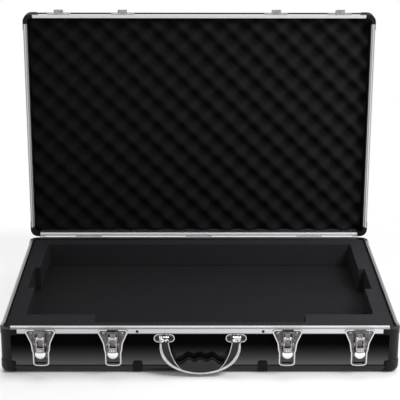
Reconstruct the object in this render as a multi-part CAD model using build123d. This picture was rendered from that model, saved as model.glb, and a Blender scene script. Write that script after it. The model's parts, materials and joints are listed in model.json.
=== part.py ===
from build123d import *
import os
from math import sin, cos, radians, sqrt

os.makedirs("parts", exist_ok=True)

# Carrying case for a table-top music controller, lid open, in millimetres.
# The origin is the centre of the underside of the bottom panel, the front faces -Y and +Z is up.

# Case outline
case_width = 700.0
case_depth = 463.0
base_height = 83.0
lid_height = 38.0
corner_radius = 14.0
edge_radius = 10.0
open_angle = 91.0
closing_gap = 0.3

# Panels and rails
sheet = 1.5
panel = 4.0
panel_inset = 9.0
rim_flange = 9.0
tongue_inset = 4.5
tongue_height = 3.5
rebate_clear = 0.3
edge_leg = 12.5
post_leg = 18.6
rail_end = 18.5

# Corner fittings
cap_leg = 30.0
cap_height = 11.0
cap_proud = 0.8
cap_inner_radius = 9.0
ball_proud = 1.2
ball_arm = 27.0
ball_arm_width = 21.0
ball_post_height = 23.5
ball_tip_radius = 5.0
seat_clear = 0.1

# Feet
foot_distance = 42.5
foot_width = 17.0
foot_rise = 21.1
foot_reach = 24.0

# Foam
foam_clear = 0.3
foam_margin = 0.8
foam_corner = 9.0
foam_side = 38.5
foam_front = 69.0
foam_rear = 35.0
recess_floor = 49.3
relief_width = 375.0
relief_front = 34.0
notch_reach = 12.5
left_notch = (195.0, 298.0)
right_notch = (188.0, 289.0)
recess_corner = 6.0
crate_top = 15.5
crate_relief = 14.0
crate_pitch = 50.0
crate_flat = 7.0
lining_thick = 1.5

# Rivets
rivet_head = 2.7
rivet_rise = 1.2
rim_rivet_spacing = 220.0

# Hinges
hinge_end_distance = 120.0
hinge_width = 54.0
hinge_leaf = 1.2
hinge_drop = 22.0
hinge_offset = 2.4
hinge_rise = 0.15
knuckle_radius = 2.1
hinge_pin_radius = 1.1
pin_fit = 0.05
knuckle_gap = 0.3
middle_knuckle = 20.0
stop_tab = 6.0

# Latches
latch_end_distance = 71.0
latch_spacing = 126.5
plate_bead = 1.2
plate_bead_width = 2.0
plate_clear = 0.2
plate_top = 0.2
plate_wing_end = -26.0
plate_neck = -40.0
plate_shoulder = -44.0
plate_bottom = -69.5
plate_half_top = 26.7
plate_half_waist = 17.2
plate_half_neck = 15.6
plate_half_loop = 14.2
plate_cut_corner = 4.5
plate_corner = 3.0
plate_waist_radius = 24.0
plate_end_radius = 6.0
plate_bow = 1.2
plate_bow_radius = 25.0
plate_rivet_x = 16.0
plate_rivet_down = 7.0
finger_top = -52.0
finger_bottom = -65.0
finger_half = 10.0
lever_pivot_out = 9.0
lever_pivot_down = 15.0
lever_pin_radius = 1.4
ear_inner = 4.0
ear_thick = 1.5
ear_radius = 3.2
ear_spread = 1.5
side_gap = 0.25
cheek_thick = 1.5
cheek_radius = 3.4
lever_length = 36.0
lever_web_start = 15.5
lever_cheek_end = 19.5
lever_cheek_land = 1.5
lever_dome_start = 24.0
lever_dome_half = 9.0
lever_dome_rise = 3.2
hook_pin_distance = 10.0
hook_pin_radius = 1.25
hook_gap = 0.65
hook_arm_thick = 1.5
hook_strap = 2.2
hook_eye_radius = 2.3
hook_bend_outer = -3.4
hook_bend_inner = -2.6
pin_head_radius = 2.3
pin_head_thick = 0.7
pin_head_gap = 0.1
lever_swing_in = 14.0
hook_swing_out = 6.0
hook_stand_out = 12.2
claw_inner = 6.3
claw_under = 2.3
claw_thick = 2.2
hook_bar_bottom = 0.8
lock_distance = 20.5
lock_radius = 3.0
lock_proud = 1.0
lock_behind = 0.2
key_slot_width = 0.9
key_slot_length = 4.0
key_slot_depth = 1.0
cam_length = 7.2
cam_width = 3.6
cam_thick = 1.2

# Strikes on the lid
strike_half = 23.5
strike_height = 11.0
strike_edge = 0.7
strike_corner = 3.0
strike_ledge_half = 9.25
strike_ledge = 10.2
strike_ledge_low = 0.5
strike_root = 4.0
strike_gusset = 5.5
strike_gusset_top = 9.0
strike_rivet_x = 18.5
strike_rivet_up = 6.5

# Handle
handle_pivot_in = 7.6
handle_pivot_out = 6.0
handle_pivot_down = 15.5
handle_half = 70.5
handle_shoulder = 30.0
handle_bottom = 78.0
handle_back = 1.5
handle_leg_front = 11.0
handle_grip_front = 18.0
band_side = 3.1
band_inner_shoulder = 24.0
band_thick = 3.0
trim_thick = 1.4
opening_shares = (0.779, 0.694, 0.475)
opening_downs = (20.0, 44.0, 68.0)
wave_shares = (0.709, 0.397, 0.291, 0.156)
wave_downs = (43.0, 56.0, 51.5, 55.5)
wave_middle = 51.5
bracket_width = 36.5
bracket_height = 15.0
bracket_ear_gap = 12.4
bracket_ear = 1.8
bracket_gap = 0.3
bracket_proud = 0.6
bracket_bead = 0.6
bracket_bead_width = 1.2
handle_eye_radius = 4.4
handle_pin_radius = 2.0
handle_neck_end = 24.0
handle_leg_end = 30.0
handle_grip_start = 58.0

# Places worked out from the sizes above
front = -case_depth / 2
rear = case_depth / 2
half_width = case_width / 2
half_depth = case_depth / 2
underside = -sheet
parting = base_height - sheet
lid_rim = parting + closing_gap
lid_outer = lid_rim + lid_height
rail_width = 2 * sheet + panel
recess_width = case_width - 2 * foam_side
recess_depth = case_depth - foam_front - foam_rear
hinge_y = rear + hinge_offset
hinge_z = parting + hinge_rise
hinge_reach = half_width - hinge_end_distance
hinge_places = (-hinge_reach, 0.0, hinge_reach)
latch_reach = half_width - latch_end_distance
latch_places = (-latch_reach, latch_spacing - latch_reach, latch_reach - latch_spacing, latch_reach)
foot_x = latch_reach - latch_spacing - foot_distance
handle_pivot_x = handle_half - handle_pivot_in

front_face = Plane(origin=(0, front, parting), x_dir=(1, 0, 0), z_dir=(0, -1, 0))
front_side = Plane(origin=(0, front, parting), x_dir=(0, -1, 0), z_dir=(-1, 0, 0))


def block(x_span, y_span, z_span):
    """A box from its low and high corner values."""
    size = [high - low for low, high in (x_span, y_span, z_span)]
    middle = [(high + low) / 2 for low, high in (x_span, y_span, z_span)]
    return Pos(*middle) * Box(*size)


def outline(*points):
    """A flat face inside straight edges."""
    return make_face(Polyline(*points, close=True))


def across(profile, x_low, x_high):
    """A side profile (out from the front face, up from the parting plane) made thick along X."""
    return extrude(front_side.offset(-x_high) * profile, amount=x_high - x_low)


def outward(face, start, end):
    """A face drawn on the front of the case made thick from start to end out of it."""
    return extrude(front_face.offset(start) * face, amount=end - start)


def on_each_side(profile, level, end_gap):
    """The same rail section run along front, rear, left and right, stopping short of the corners."""
    planes = {
        "front": Plane(origin=(0, front, level), x_dir=(0, 1, 0), z_dir=(1, 0, 0)),
        "rear": Plane(origin=(0, rear, level), x_dir=(0, -1, 0), z_dir=(-1, 0, 0)),
        "left": Plane(origin=(-half_width, 0, level), x_dir=(1, 0, 0), z_dir=(0, -1, 0)),
        "right": Plane(origin=(half_width, 0, level), x_dir=(-1, 0, 0), z_dir=(0, 1, 0)),
    }
    lengths = {"front": case_width, "rear": case_width, "left": case_depth, "right": case_depth}
    return {
        side: extrude(plane * profile, amount=lengths[side] / 2 - end_gap, both=True)
        for side, plane in planes.items()
    }


def at_each_corner(piece):
    """A piece modelled at the front left corner, repeated at all four by mirroring."""
    right = mirror(piece, about=Plane.YZ)
    return [piece, right, mirror(piece, about=Plane.XZ), mirror(right, about=Plane.XZ)]


def to_lid(shape):
    """Turn a piece modelled on the base's outer edge over onto the lid's outer edge."""
    return Pos(0, 0, lid_outer + underside) * mirror(shape, about=Plane.XY)


def opened(shape):
    """Swing a piece of the closed lid about the hinge axis to the open rest pose."""
    return Pos(0, hinge_y, hinge_z) * Rot(-open_angle, 0, 0) * Pos(0, -hinge_y, -hinge_z) * shape


def dome(radius, rise, x, out, up):
    """A round dome on a face of the front: out from the case's front face, up from the parting plane."""
    sphere_radius = (radius**2 + rise**2) / (2 * rise)
    ball = Pos(0, 0, rise - sphere_radius) * Sphere(sphere_radius)
    plane = Plane(origin=(x, front - out, parting + up), x_dir=(1, 0, 0), z_dir=(0, -1, 0))
    return plane * (ball & Pos(0, 0, rise / 2) * Cylinder(radius, rise))


# Outer shell

def two_slot_section(leg, radius):
    """Corner extrusion section: rounded outside, two slots at right angles for the panels."""
    outer = Line((0, leg), (0, radius)) + RadiusArc((0, radius), (radius, 0), -radius)
    inner = Polyline(
        (radius, 0), (leg, 0), (leg, sheet), (panel_inset, sheet), (panel_inset, sheet + panel),
        (leg, sheet + panel), (leg, rail_width), (rail_width, rail_width), (rail_width, leg),
        (sheet + panel, leg), (sheet + panel, panel_inset), (sheet, panel_inset), (sheet, leg),
        (0, leg),
    )
    return make_face(outer + inner)


def edge_rails():
    """The four rounded rails along the case's outer bottom edges."""
    return list(on_each_side(two_slot_section(edge_leg, edge_radius), underside, corner_radius).values())


def corner_posts(height):
    """Four upright corner extrusions, from the edge rails up to the rim corner caps."""
    section = Pos(-half_width, front, underside + edge_leg) * two_slot_section(post_leg, corner_radius)
    return at_each_corner(extrude(section, amount=height - edge_leg - cap_height))


def wall_panels(height, rim_web):
    """Front, rear, left and right panels, seated in the posts, the edge rails and the rim rails."""
    z_span = (underside + panel_inset, underside + height - rim_web)
    x_span = (-half_width + panel_inset, half_width - panel_inset)
    y_span = (front + panel_inset, rear - panel_inset)
    return {
        "front": block(x_span, (front + sheet, front + sheet + panel), z_span),
        "rear": block(x_span, (rear - sheet - panel, rear - sheet), z_span),
        "left": block((-half_width + sheet, -half_width + sheet + panel), y_span, z_span),
        "right": block((half_width - sheet - panel, half_width - sheet), y_span, z_span),
    }


def flat_panel():
    """The bottom panel, which is also the lid's top panel when turned over."""
    x_span = (-half_width + panel_inset, half_width - panel_inset)
    y_span = (front + panel_inset, rear - panel_inset)
    return block(x_span, y_span, (0, panel))


def rounded_case(proud, height):
    """The outside form of a half case, grown by proud on every outer face."""
    form = block(
        (-half_width - proud, half_width + proud),
        (front - proud, rear + proud),
        (underside - proud, underside + height),
    )
    form = fillet(form.edges().filter_by(Axis.Z), corner_radius + proud)
    return fillet(form.faces().sort_by(Axis.Z)[0].edges(), edge_radius + proud)


def ball_seats():
    """Thin fillings under a corner piece's arms, down to the panels between the extrusions."""
    start = edge_leg + seat_clear
    beside_post = post_leg + seat_clear
    x_of, y_of, z_of = (lambda low, high, edge=edge: (edge + low, edge + high) for edge in
                        (-half_width, front, underside))
    return [
        block(x_of(beside_post, ball_arm), y_of(0, sheet), z_of(start, ball_arm_width)),
        block(x_of(0, sheet), y_of(beside_post, ball_arm), z_of(start, ball_arm_width)),
        block(x_of(start, ball_arm), y_of(start, ball_arm_width), z_of(0, sheet)),
        block(x_of(start, ball_arm_width), y_of(start, ball_arm), z_of(0, sheet)),
    ]


def ball_corners():
    """Moulded corner pieces: a rounded shell with an arm along each edge, over a filled corner."""
    height = ball_post_height + corner_radius
    shell = rounded_case(ball_proud, height) - rounded_case(0, height)
    low_x, low_y, low_z = -half_width - ball_proud, front - ball_proud, underside - ball_proud
    wide_x = -half_width + ball_arm_width
    wide_y = front + ball_arm_width
    wide_z = underside + ball_arm_width
    arm_x = block((low_x, -half_width + ball_arm), (low_y, wide_y), (low_z, wide_z))
    arm_y = block((low_x, wide_x), (low_y, front + ball_arm), (low_z, wide_z))
    arm_z = block(
        (low_x, -half_width + post_leg),
        (low_y, front + post_leg),
        (low_z, underside + ball_post_height),
    )
    arm_x = fillet(arm_x.faces().sort_by(Axis.X)[-1].edges(), ball_tip_radius)
    arm_y = fillet(arm_y.faces().sort_by(Axis.Y)[-1].edges(), ball_tip_radius)
    arm_z = fillet(arm_z.faces().sort_by(Axis.Z)[-1].edges(), ball_tip_radius)
    core = rounded_case(0, height) & block(
        (-half_width, -half_width + corner_radius),
        (front, front + corner_radius),
        (underside, underside + edge_leg),
    )
    inside = block(
        (-half_width + rail_width, -half_width + corner_radius),
        (front + rail_width, front + corner_radius),
        (panel, underside + edge_leg),
    )
    arms = arm_x + arm_y + arm_z
    piece = (shell & arms) + (core - inside)
    for seat in ball_seats():
        piece = piece + (seat & arms)
    walls = wall_panels(base_height, sheet)
    for neighbour in (walls["front"], walls["left"], flat_panel()):
        piece = piece - neighbour
    return at_each_corner(piece)


def rim_corner_caps():
    """Rounded blocks that join the rim rails at each corner, with a skin over the rails' ends."""
    z_span = (parting - cap_height, parting)
    upright = Plane(origin=(0, 0, z_span[0]))
    inside = RectangleRounded(case_width, case_depth, corner_radius)
    outside = RectangleRounded(
        case_width + 2 * cap_proud, case_depth + 2 * cap_proud, corner_radius + cap_proud
    )
    skin = extrude(upright * (outside - inside), amount=cap_height)
    skin = skin & block(
        (-half_width - cap_proud, -half_width + cap_leg), (front - cap_proud, front + cap_leg), z_span
    )
    filled = extrude(upright * inside, amount=cap_height) & block(
        (-half_width, -half_width + rail_end), (front, front + rail_end), z_span
    )
    hollow = block(
        (-half_width + rail_width, -half_width + rail_end), (front + rail_width, front + rail_end), z_span
    )
    corner = hollow.edges().filter_by(Axis.Z).sort_by(Axis.X)[:2].sort_by(Axis.Y)[:1]
    piece = skin + (filled - fillet(corner, cap_inner_radius))
    walls = wall_panels(base_height, sheet)
    return at_each_corner(piece - walls["front"] - walls["left"])


# Rims

def base_rim_section():
    """Panel channel below, with a shoulder outside and a tongue inside above it."""
    inner = sheet + panel
    return outline(
        (0, -rim_flange), (0, 0), (tongue_inset, 0), (tongue_inset, tongue_height),
        (rail_width, tongue_height), (rail_width, -rim_flange), (inner, -rim_flange),
        (inner, -sheet), (sheet, -sheet), (sheet, -rim_flange),
    )


def lid_rim_section():
    """Lid rail: outer shoulder, and a rebate open to the inside that clears the base's tongue."""
    shoulder = tongue_inset - rebate_clear
    rebate = tongue_height + rebate_clear
    web = rebate + sheet
    inner = sheet + panel
    return outline(
        (0, 0), (0, rim_flange), (sheet, rim_flange), (sheet, web), (inner, web),
        (inner, rim_flange), (rail_width, rim_flange), (rail_width, rebate),
        (shoulder, rebate), (shoulder, 0),
    )


# Foam

def base_foam():
    """Cut layer around the controller, and the plain layer that it lies on."""
    edge = rail_width + foam_margin
    x_span = (-half_width + edge, half_width - edge)
    y_span = (front + edge, rear - edge)
    floor = parting - recess_floor
    top = parting - sheet - foam_clear
    layer = block(x_span, y_span, (floor, top))
    layer = fillet(layer.edges().filter_by(Axis.Z), foam_corner)
    recess_y = front + foam_front
    recess = block(
        (-recess_width / 2, recess_width / 2), (recess_y, recess_y + recess_depth), (floor, top)
    )
    recess = fillet(recess.edges().filter_by(Axis.Z), recess_corner)
    relief = block(
        (-relief_width / 2, relief_width / 2),
        (front + relief_front, recess_y + recess_corner),
        (floor, top),
    )
    relief = fillet(relief.faces().sort_by(Axis.Y)[0].edges().filter_by(Axis.Z), recess_corner)
    layer = layer - recess - relief
    for side, notch in ((-1, left_notch), (1, right_notch)):
        far = side * (recess_width / 2 + notch_reach)
        near = side * (recess_width / 2 - recess_corner)
        layer = layer - block(
            (min(near, far), max(near, far)), (front + notch[0], front + notch[1]), (floor, top)
        )
    margin = edge_leg + foam_margin
    pad = block(
        (-half_width + margin, half_width - margin), (front + margin, rear - margin), (panel, floor)
    )
    return layer, pad


def zigzag_slab(turn, low, high, crest):
    """A slab with straight ridges, turned about Z; the ridges hang down from low to crest."""
    pitch = crate_pitch / sqrt(2)
    count = int((half_width + half_depth) / pitch) + 1
    reach = (count + 0.5) * pitch
    flat = crate_flat / 2
    points = [(-reach, high), (-reach, low)]
    for ridge in range(-count, count + 1):
        points += [(ridge * pitch - flat, crest), (ridge * pitch + flat, crest)]
        points.append(((ridge + 0.5) * pitch, low))
    points.append((reach, high))
    profile = Plane.XZ * outline(*points)
    return Rot(0, 0, turn) * extrude(profile, amount=reach, both=True)


def lid_foam():
    """Egg-crate foam behind the lid panel: two sets of ridges crossed to leave pointed bumps."""
    edge = rail_width + foam_margin
    inner = edge_leg + foam_margin
    back = lid_outer - sheet - panel
    seat = lid_outer - rail_width - foam_margin
    crest = lid_rim + crate_top
    slab = block((-half_width + edge, half_width - edge), (front + edge, rear - edge), (crest, seat))
    backing = block((-half_width + inner, half_width - inner), (front + inner, rear - inner), (seat, back))
    one_way = slab & zigzag_slab(45, crest + crate_relief, back, crest)
    other_way = slab & zigzag_slab(-45, crest + crate_relief, back, crest)
    return (one_way & other_way) + backing


def lid_lining():
    """Four strips on the lid's inner walls, between the rim rails and the edge rails."""
    reach = sheet + panel
    z_span = (lid_rim + rim_flange, lid_outer - edge_leg)
    ends = post_leg + foam_margin
    along_x = (-half_width + ends, half_width - ends)
    along_y = (front + ends, rear - ends)
    return [
        block(along_x, (front + reach, front + reach + lining_thick), z_span),
        block(along_x, (rear - reach - lining_thick, rear - reach), z_span),
        block((-half_width + reach, -half_width + reach + lining_thick), along_y, z_span),
        block((half_width - reach - lining_thick, half_width - reach), along_y, z_span),
    ]


# Feet

def feet():
    """Moulded feet that wrap the bottom edge: two at the front and two at the rear."""
    top = foot_rise
    outer = Polyline((0, top), (-ball_proud, top), (-ball_proud, edge_radius))
    outer += RadiusArc((-ball_proud, edge_radius), (edge_radius, -ball_proud), -edge_radius - ball_proud)
    outer += Polyline(
        (edge_radius, -ball_proud), (foot_reach, -ball_proud), (foot_reach, 0), (edge_radius, 0)
    )
    outer += RadiusArc((edge_radius, 0), (0, edge_radius), edge_radius)
    outer += Line((0, edge_radius), (0, top))
    section = make_face(outer)
    start = edge_leg + seat_clear
    seat = outline((0, start), (sheet, start), (sheet, top), (0, top))
    lip = outline((start, 0), (foot_reach, 0), (foot_reach, sheet), (start, sheet))
    plane = Plane(origin=(0, front, underside), x_dir=(0, 1, 0), z_dir=(1, 0, 0))
    foot = extrude(plane * (section + seat + lip), amount=foot_width / 2, both=True)
    foot = fillet(foot.edges().filter_by(Axis.Y).sort_by(Axis.Z)[-2:], foot_width / 4)
    row = [Pos(side * foot_x, 0, 0) * foot for side in (-1, 1)]
    return row + [mirror(piece, about=Plane.XZ) for piece in row]


# Hinges

def hinge_leaf_section(side):
    """Leaf section in Y and Z about the hinge axis; side is -1 for the base's leaf, 1 for the lid's."""
    inner = -hinge_offset
    curl = inner + hinge_leaf
    return outline((inner, side * hinge_drop), (curl, side * hinge_drop), (curl, 0), (inner, 0))


def hinge_knuckle(x_low, x_high):
    """A barrel on the hinge axis, bored for the pin."""
    barrel = Cylinder(knuckle_radius, x_high - x_low) - Cylinder(hinge_pin_radius + pin_fit, x_high - x_low)
    return Pos((x_low + x_high) / 2, 0, 0) * Rot(0, 90, 0) * barrel


def hinge_leaves():
    """Base leaf with two outer knuckles; lid leaf with the middle knuckle and its stop tab."""
    plane = Plane(origin=(-hinge_width / 2, 0, 0), x_dir=(0, 1, 0), z_dir=(1, 0, 0))
    half = hinge_width / 2
    mid = middle_knuckle / 2
    wide = mid + knuckle_gap
    clear = knuckle_radius + knuckle_gap
    bore = Rot(0, 90, 0) * Cylinder(hinge_pin_radius + pin_fit, hinge_width)

    base = extrude(plane * hinge_leaf_section(-1), amount=hinge_width)
    base -= block((-wide, wide), (-hinge_offset, knuckle_radius), (-clear, clear))
    base += hinge_knuckle(-half, -wide) + hinge_knuckle(wide, half)
    base -= bore

    lid = extrude(plane * hinge_leaf_section(1), amount=hinge_width)
    for side in (-1, 1):
        low, high = sorted((side * mid, side * half))
        lid -= block((low, high), (-hinge_offset, knuckle_radius), (-clear, clear))
    lid += hinge_knuckle(-mid, mid)
    tab_back = -hinge_offset + hinge_leaf + closing_gap
    tab = block((-mid, mid), (tab_back, tab_back + sheet), (-stop_tab, 0))
    lid += Rot(open_angle, 0, 0) * tab
    lid -= bore
    return base, lid


def place_hinges(piece):
    return [Pos(x, hinge_y, hinge_z) * piece for x in hinge_places]


# Latches

def latch_plate_face():
    """Front view of the latch plate: wide top for the rivets, waist, and the loop below."""
    half = [
        (plate_half_top - plate_cut_corner, plate_top), (plate_half_top, plate_top - plate_cut_corner),
        (plate_half_waist, plate_wing_end), (plate_half_neck, plate_neck),
        (plate_half_loop, plate_shoulder), (plate_half_loop, plate_bottom + plate_bow),
    ]
    small = plate_corner
    radii = [small, small, plate_waist_radius, small, small, plate_end_radius]
    points = half + [(0, plate_bottom)] + [(-x, z) for x, z in reversed(half)]
    radii = radii + [plate_bow_radius] + radii[::-1]
    return make_face(FilletPolyline(*points, radius=radii, close=True))


def latch_plate():
    """Pressed plate with a raised rim, a skirt down to the panel, the finger opening and two ears."""
    face = latch_plate_face()
    inside = offset(face, amount=-plate_bead_width)
    finger = Pos(0, (finger_top + finger_bottom) / 2) * RectangleRounded(
        2 * finger_half, finger_top - finger_bottom, plate_corner
    )
    plate = outward(face - finger, 0, sheet) + outward(face - inside, sheet, sheet + plate_bead)
    skirt = outward(face - offset(face, amount=-sheet), -sheet, 0)
    plate += skirt & block(
        (-plate_half_top, plate_half_top),
        (front, front + sheet),
        (underside + edge_leg + plate_clear, parting - rim_flange - plate_clear),
    )
    out, up = lever_pivot_out, -lever_pivot_down
    ear = Pos(out, up) * Circle(ear_radius)
    ear += outline(
        (sheet, up - ear_radius - ear_spread), (out, up - ear_radius),
        (out, up + ear_radius), (sheet, up + ear_radius + ear_spread),
    )
    ear -= Pos(out, up) * Circle(lever_pin_radius + pin_fit)
    for side in (-1, 1):
        low, high = sorted((side * ear_inner, side * (ear_inner + ear_thick)))
        plate += across(ear, low, high)
    return plate


cheek_inner = ear_inner + ear_thick + side_gap
cheek_outer = cheek_inner + cheek_thick
arm_inner = cheek_outer + hook_gap
arm_outer = arm_inner + hook_arm_thick


def cross_pin(out, up, radius, half_length):
    """A round pin along X, out from the front face and up from the parting plane."""
    return Pos(0, front - out, parting + up) * Rot(0, 90, 0) * Cylinder(radius, 2 * half_length)


def latch_lever():
    """Channel-shaped lever: two cheeks on the pin, a web that holds the lock, a domed finger end."""
    out, up = lever_pivot_out, -lever_pivot_down
    front_edge = cheek_radius
    web_back = front_edge - sheet
    cheek = Pos(out, up) * Circle(cheek_radius)
    web_end = lever_length - lever_dome_half
    cheek += Pos(out, up) * outline(
        (front_edge, 0), (front_edge, -web_end), (web_back, -web_end),
        (web_back, -lever_cheek_end), (-cheek_radius, -hook_pin_distance - lever_cheek_land),
        (-cheek_radius, 0),
    )
    cheek -= Pos(out, up) * Circle(lever_pin_radius + pin_fit)
    cheek -= Pos(out, up - hook_pin_distance) * Circle(hook_pin_radius + pin_fit)
    lever = across(cheek, cheek_inner, cheek_outer) + across(cheek, -cheek_outer, -cheek_inner)
    web = Pos(out, up) * outline(
        (web_back, -lever_web_start), (front_edge, -lever_web_start),
        (front_edge, -web_end), (web_back, -web_end),
    )
    lever += across(web, -cheek_outer, cheek_outer)
    disc = outward(Pos(0, up - web_end) * Circle(lever_dome_half), out + web_back, out + front_edge)
    end = disc + dome(lever_dome_half, lever_dome_rise, 0, out + front_edge, up - web_end)
    lever += end & block(
        (-lever_dome_half, lever_dome_half),
        (front - out - front_edge - lever_dome_rise, front - out),
        (parting + up - lever_length, parting + up - lever_dome_start),
    )
    bore = front_face.offset(out) * Pos(0, up - lock_distance) * Circle(lock_radius + pin_fit)
    return lever - extrude(bore, amount=2 * cheek_radius)


def lock_barrel():
    """Key plug in the lever's web, with a key slot in front and a cam behind."""
    up = -lever_pivot_down - lock_distance
    web_back = lever_pivot_out + cheek_radius - sheet
    web_front = lever_pivot_out + cheek_radius
    plug_back = web_back - lock_behind
    plug_front = web_front + lock_proud
    barrel = outward(Pos(0, up) * Circle(lock_radius), plug_back, plug_front)
    slot = Pos(0, up) * Rectangle(key_slot_width, key_slot_length)
    barrel -= outward(slot, plug_front - key_slot_depth, plug_front)
    cam = Pos(0, up - (cam_length - cam_width) / 2) * SlotOverall(cam_length, cam_width, rotation=90)
    return barrel + outward(cam, plug_back - cam_thick, plug_back)


def hook_pivot(lever_angle):
    """Where the hook's pin sits, out and up, for a lever turned out by an angle from hanging."""
    angle = radians(lever_angle)
    out = lever_pivot_out + hook_pin_distance * sin(angle)
    return out, -lever_pivot_down - hook_pin_distance * cos(angle)


def latch_hook():
    """Stamped loop: two arms on the pin, a bar across the top and a claw that reaches over the strike."""
    out, up = hook_pivot(-lever_swing_in)
    half = hook_strap / 2
    bend = hook_stand_out
    arm = Pos(out, up) * Circle(hook_eye_radius)
    arm += outline(
        (out - half, up), (out + half, up), (bend + half, hook_bend_outer),
        (bend + half, claw_under + claw_thick), (bend - half, claw_under + claw_thick),
        (bend - half, hook_bend_inner),
    )
    arm -= Pos(out, up) * Circle(hook_pin_radius + pin_fit)
    hook = across(arm, arm_inner, arm_outer) + across(arm, -arm_outer, -arm_inner)
    bar = outline(
        (bend - half, hook_bar_bottom), (bend + half, hook_bar_bottom),
        (bend + half, claw_under + claw_thick), (claw_inner, claw_under + claw_thick),
        (claw_inner, claw_under), (bend - half, claw_under),
    )
    hook += across(bar, -arm_outer, arm_outer)
    rest_out, rest_up = hook_pivot(0)
    closed_pin = Pos(0, -(front - out), -(parting + up))
    rest_pin = Pos(0, front - rest_out, parting + rest_up)
    return rest_pin * Rot(hook_swing_out, 0, 0) * closed_pin * hook


def hook_pins():
    """Two short pins, each through a cheek and an arm of the hook, with a flat head at both ends."""
    out, up = hook_pivot(0)
    outer = arm_outer + pin_head_gap + pin_head_thick / 2
    inner = cheek_inner - pin_head_gap - pin_head_thick / 2
    pin = Pos((outer + inner) / 2, 0, 0) * cross_pin(out, up, hook_pin_radius, (outer - inner) / 2)
    for middle in (outer, inner):
        pin += Pos(middle, 0, 0) * cross_pin(out, up, pin_head_radius, pin_head_thick / 2)
    return [pin, mirror(pin, about=Plane.YZ)]


def rivet_pairs(places, reach, out, up):
    """Rivet heads on the front, one on each side of every place along X."""
    heads = []
    for x in places:
        for side in (-1, 1):
            heads.append(dome(rivet_head, rivet_rise, x + side * reach, out, up))
    return heads


def strike():
    """Strike on the lid's front rail: riveted wings, and a ledge with gussets for the claw."""
    middle = closing_gap + strike_edge + strike_height / 2
    plate = Pos(0, middle) * RectangleRounded(2 * strike_half, strike_height, strike_corner)
    piece = outward(plate, 0, sheet)
    ledge_top = strike_ledge_low + sheet
    ledge = outline(
        (0, strike_ledge_low), (strike_ledge, strike_ledge_low), (strike_ledge, ledge_top),
        (sheet, ledge_top), (0, strike_root),
    )
    piece += across(ledge, -strike_ledge_half, strike_ledge_half)
    gusset = outline((sheet, ledge_top), (strike_gusset, ledge_top), (sheet, strike_gusset_top))
    for side in (-1, 1):
        low, high = sorted((side * strike_ledge_half, side * (strike_ledge_half - sheet)))
        piece += across(gusset, low, high)
    return piece


# Handle

def handle_bracket():
    """Plate with rounded ends under the rail, and two ears with the handle's fixed pin."""
    out, up = handle_pivot_out, -handle_pivot_down
    radius = handle_eye_radius
    centre = -rim_flange - bracket_gap - bracket_height / 2
    face = Pos(0, centre) * SlotOverall(bracket_width, bracket_height)
    inner_face = offset(face, amount=-bracket_bead_width)
    piece = outward(face, -sheet, bracket_proud)
    piece += outward(face - inner_face, bracket_proud, bracket_proud + bracket_bead)
    ear = Pos(out, up) * Circle(radius)
    ear += outline(
        (bracket_proud, up - radius), (out, up - radius), (out, up + radius), (bracket_proud, up + radius)
    )
    inner = bracket_ear_gap / 2
    for side in (-1, 1):
        low, high = sorted((side * inner, side * (inner + bracket_ear)))
        piece += across(ear, low, high)
    return piece + cross_pin(out, up, handle_pin_radius, inner + bracket_ear)


def handle_brackets():
    return [Pos(side * handle_pivot_x, 0, 0) * handle_bracket() for side in (-1, 1)]


def front_rivets():
    """Heads on the latch plates' wings, the handle brackets' rounded ends and the rim rail."""
    latches = rivet_pairs(latch_places, plate_rivet_x, sheet, -plate_rivet_down)
    bracket_middle = -rim_flange - bracket_gap - bracket_height / 2
    bracket_reach = (bracket_width - bracket_height) / 2 + bracket_ear
    brackets = rivet_pairs((-handle_pivot_x, handle_pivot_x), bracket_reach, bracket_proud, bracket_middle)
    rim = rivet_pairs((0,), rim_rivet_spacing / 2, 0, -rim_flange / 2)
    return latches + brackets + rim


def handle_outline(half, shoulder, bottom):
    """A U seen from the front: straight legs down to the shoulder, and half an ellipse below."""
    top = -handle_pivot_down - handle_eye_radius - side_gap
    drop = bottom - shoulder
    bowl = Pos(0, -shoulder) * Ellipse(half, drop)
    legs = Pos(0, (top - shoulder) / 2) * Rectangle(2 * half, shoulder + top)
    return (bowl - Pos(0, drop - shoulder) * Rectangle(3 * half, 2 * drop)) + legs


def opening_side(side, shift):
    """Three points down the finger opening's side, left (-1) or right (1), moved out by shift."""
    halves = [handle_half * share + shift for share in opening_shares]
    return [(side * half, -down) for half, down in zip(halves, opening_downs)]


def between_arcs(one, other):
    """A face between two arcs that run down, each given by three points."""
    edge = ThreePointArc(*one) + Line(one[-1], other[-1])
    edge += ThreePointArc(*other[::-1]) + Line(other[0], one[0])
    return make_face(edge)


def handle_opening():
    """The finger opening seen from the front: curved sides and a wavy grip below."""
    sides = between_arcs(opening_side(-1, 0), opening_side(1, 0))
    half = [(handle_half * share, -down) for share, down in zip(wave_shares, wave_downs)]
    points = [(-x, z) for x, z in half] + [(0, -wave_middle)] + half[::-1]
    wave = Spline(*points) + Polyline(
        points[-1], (points[-1][0], -handle_bottom), (points[0][0], -handle_bottom), points[0]
    )
    return sides - make_face(wave)


def handle_depth(back, front_leg, front_grip):
    """Side profile that the handle's front view is cut to: thin legs, a thicker grip."""
    top = -handle_pivot_down - handle_eye_radius - side_gap
    profile = outline(
        (back, top), (front_leg, top), (front_leg, -handle_leg_end), (front_grip, -handle_grip_start),
        (front_grip, -handle_bottom), (back, -handle_bottom),
    )
    return across(profile, -handle_half, handle_half)


def handle_neck():
    """The eye on the pin and the neck that joins it to the leg."""
    out, up = handle_pivot_out, -handle_pivot_down
    radius = handle_eye_radius
    half = bracket_ear_gap / 2 - side_gap
    neck = Pos(out, up) * Circle(radius)
    neck += outline(
        (out - radius, up), (out - radius, -handle_neck_end),
        (out + radius, -handle_neck_end), (out + radius, up),
    )
    neck -= Pos(out, up) * Circle(handle_pin_radius + pin_fit)
    return across(neck, -half, half)


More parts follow.
